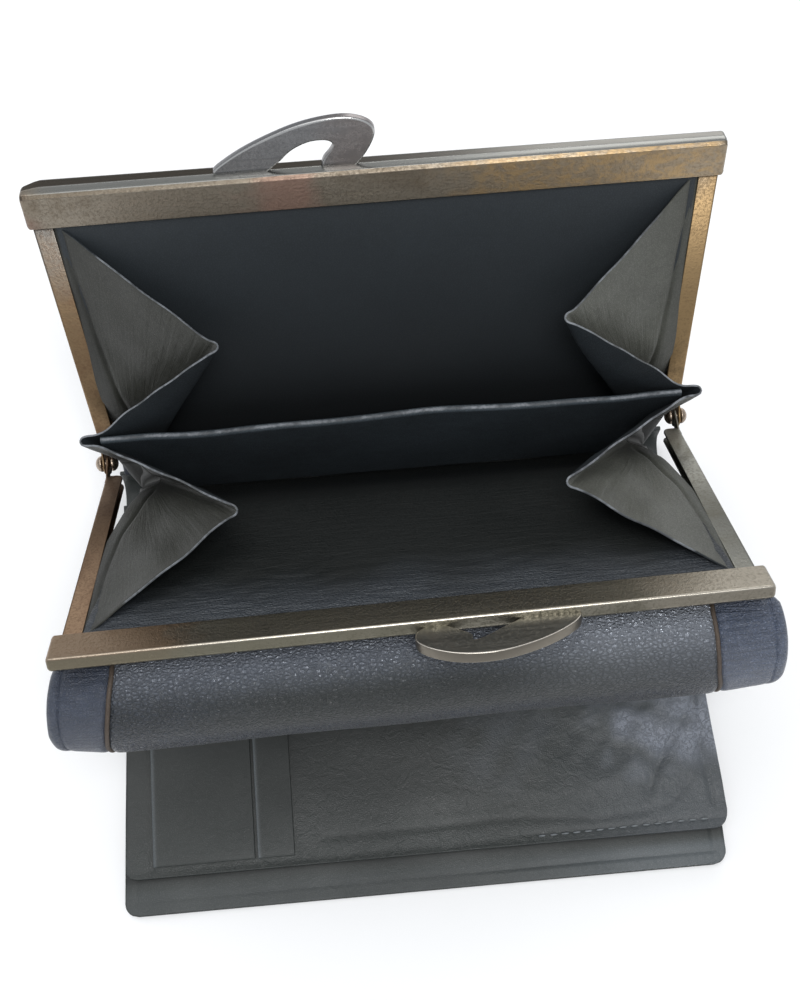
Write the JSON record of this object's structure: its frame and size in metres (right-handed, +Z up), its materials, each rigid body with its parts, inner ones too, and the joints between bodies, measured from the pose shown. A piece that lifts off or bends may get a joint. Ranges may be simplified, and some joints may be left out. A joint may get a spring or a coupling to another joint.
{
  "type": "french purse wallet",
  "caption": "Leather wallet: a kiss-lock framed coin purse with divider and W gussets, hinged at a spine to a flat billfold panel.",
  "frame": {"origin": "middle of the billfold's underside, on the surface that the wallet rests on", "axes": "+Z up; +X to the right along the frame's bars; +Y from the billfold's free edge towards the spine and the purse"},
  "size_m": [0.111, 0.1051, 0.0893],
  "materials": {
    "leather_navy": "coarse grain, semi-gloss",
    "leather_slate": "smooth, worn",
    "leather_olive": "fine grain, matt",
    "leather_brown": "seam welt, matt",
    "metal": "plated and worn, tarnished",
    "cord": "twisted paper cord, hidden in the channel"
  },
  "bodies": {
    "billfold": {"cover_leather": "leather_slate", "cover_hem": "leather_slate", "cover_lining": "leather_navy", "note_panel": "leather_slate", "card_pocket": "leather_slate", "card_strip": "leather_slate", "spine_leather": "leather_navy"},
    "purse": {"divider": "leather_navy", "hinge_rivet_left": "metal", "hinge_rivet_right": "metal", "rear_wall_lower": "leather_navy", "rear_lining_lower": "leather_navy", "front_lining_lower": "leather_navy", "front_panel_lower": "leather_navy", "front_wing_lower_left": "leather_navy", "front_wing_lower_right": "leather_navy", "seam_welt_lower_left": "leather_brown", "seam_welt_lower_right": "leather_brown", "gusset_left": "leather_olive", "gusset_right": "leather_olive"},
    "rear_frame": {"rear_bar": "metal", "rear_arm_left": "metal", "rear_arm_right": "metal", "rear_clasp_finger": "metal", "rear_channel_cord": "cord", "rear_wall_upper": "leather_navy", "rear_lining_upper": "leather_navy"},
    "front_frame": {"front_bar": "metal", "front_arm_left": "metal", "front_arm_right": "metal", "front_clasp_finger": "metal", "front_channel_cord": "cord", "front_lining_upper": "leather_navy", "front_panel_upper": "leather_navy", "front_wing_upper_left": "leather_navy", "front_wing_upper_right": "leather_navy", "seam_welt_upper_left": "leather_brown", "seam_welt_upper_right": "leather_brown"}
  },
  "joints": [
    {"name": "wallet_fold", "type": "hinge", "parent": "billfold", "child": "purse", "pos_m": [0, 0.0379, 0.004], "axis": [1, 0, 0], "range_deg": [-70, 31], "deforming": ["spine_leather"]},
    {"name": "rear_half", "type": "hinge", "parent": "purse", "child": "rear_frame", "pos_m": [0, 0.03561, 0.02779], "axis": [1, 0, 0], "range_deg": [0, 27.9], "deforming": ["gusset_left", "gusset_right"]},
    {"name": "front_half", "type": "hinge", "parent": "purse", "child": "front_frame", "pos_m": [0, 0.03561, 0.02779], "axis": [-1, 0, 0], "range_deg": [0, 43], "deforming": ["gusset_left", "gusset_right"]}
  ],
  "couplings": [
    {"joint": "front_half", "follows": "rear_half", "ratio": 1.5412}
  ]
}
